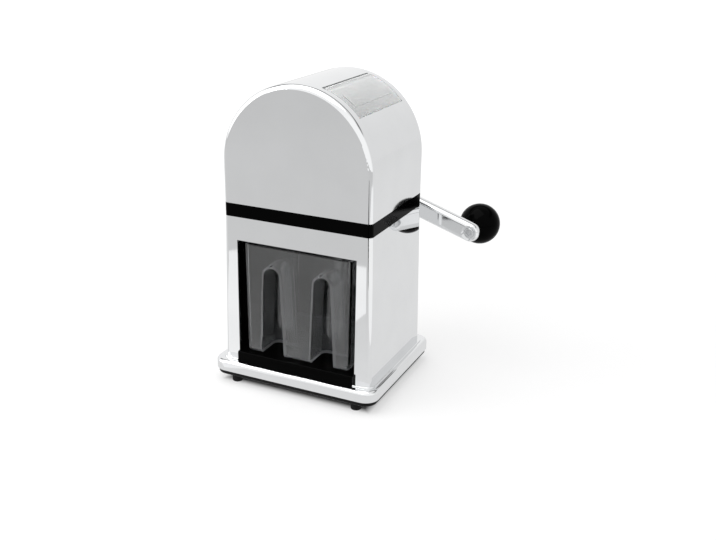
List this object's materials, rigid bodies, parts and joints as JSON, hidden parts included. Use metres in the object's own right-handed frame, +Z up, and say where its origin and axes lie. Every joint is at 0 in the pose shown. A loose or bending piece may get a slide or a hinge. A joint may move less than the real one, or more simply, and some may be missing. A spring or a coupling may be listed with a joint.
{
  "type": "ice crusher",
  "caption": "Hand-cranked ice crusher: arched metal body on a plinth, hinged clear lid, black waist band, pull-out clear bin with finger flutes, rear crank with ball knob.",
  "frame": {"origin": "on the table plane, under the centre of the body's footprint", "axes": "+X to the right as seen from the front, +Y to the rear, +Z up"},
  "size_m": [0.1971, 0.1919, 0.261],
  "materials": {
    "chrome": "mirror-plated",
    "black_moulding": "moulded",
    "black_gloss": "polished",
    "hopper_plastic": "moulded",
    "smoked_clear": "clear, smoked",
    "clear": "clear",
    "steel": "satin",
    "bronze": "sintered",
    "rubber": "matt"
  },
  "bodies": {
    "housing": {"base_plinth": "chrome", "lower_housing": "chrome", "upper_housing": "chrome", "base_pan": "black_moulding", "bay_liner": "black_moulding", "waist_frame": "black_gloss", "crusher_chamber": "black_moulding", "hopper": "hopper_plastic", "front_bush": "bronze", "rear_bush": "bronze", "comb_left": "steel", "comb_right": "steel", "lid_pin": "steel", "base_screws": "steel", "chamber_screws": "steel", "comb_screws": "steel", "frame_screws": "steel", "foot_front_left": "rubber", "foot_rear_left": "rubber", "foot_front_right": "rubber", "foot_rear_right": "rubber"},
    "crank": {"rotor_shaft": "steel", "rotor_blade_1": "steel", "rotor_blade_2": "steel", "rotor_blade_3": "steel", "rotor_blade_4": "steel", "rotor_blade_5": "steel", "rotor_spacer_1": "steel", "rotor_spacer_2": "steel", "rotor_spacer_3": "steel", "rotor_spacer_4": "steel", "rotor_spacer_5": "steel", "rotor_spacer_6": "steel", "crank_arm": "chrome", "crank_screw": "steel", "knob_screw": "steel", "knob_spindle": "steel"},
    "knob": {"knob": "black_gloss", "knob_cap": "black_gloss"},
    "lid": {"lid": "clear"},
    "bin": {"ice_bin": "smoked_clear"}
  },
  "joints": [
    {"name": "crank_turn", "type": "hinge", "parent": "housing", "child": "crank", "pos_m": [0, 0.052, 0.15395], "axis": [0, 1, 0], "continuous": true},
    {"name": "knob_spin", "type": "hinge", "parent": "crank", "child": "knob", "pos_m": [0.10254, 0.109, 0.12004], "axis": [0, 1, 0], "continuous": true},
    {"name": "lid_hinge", "type": "hinge", "parent": "housing", "child": "lid", "pos_m": [0.01999, 0, 0.25667], "axis": [0, -1, 0], "range_deg": [0, 125]},
    {"name": "bin_slide", "type": "slide", "parent": "housing", "child": "bin", "axis": [0, -1, 0], "range_m": [0, 0.095]}
  ]
}
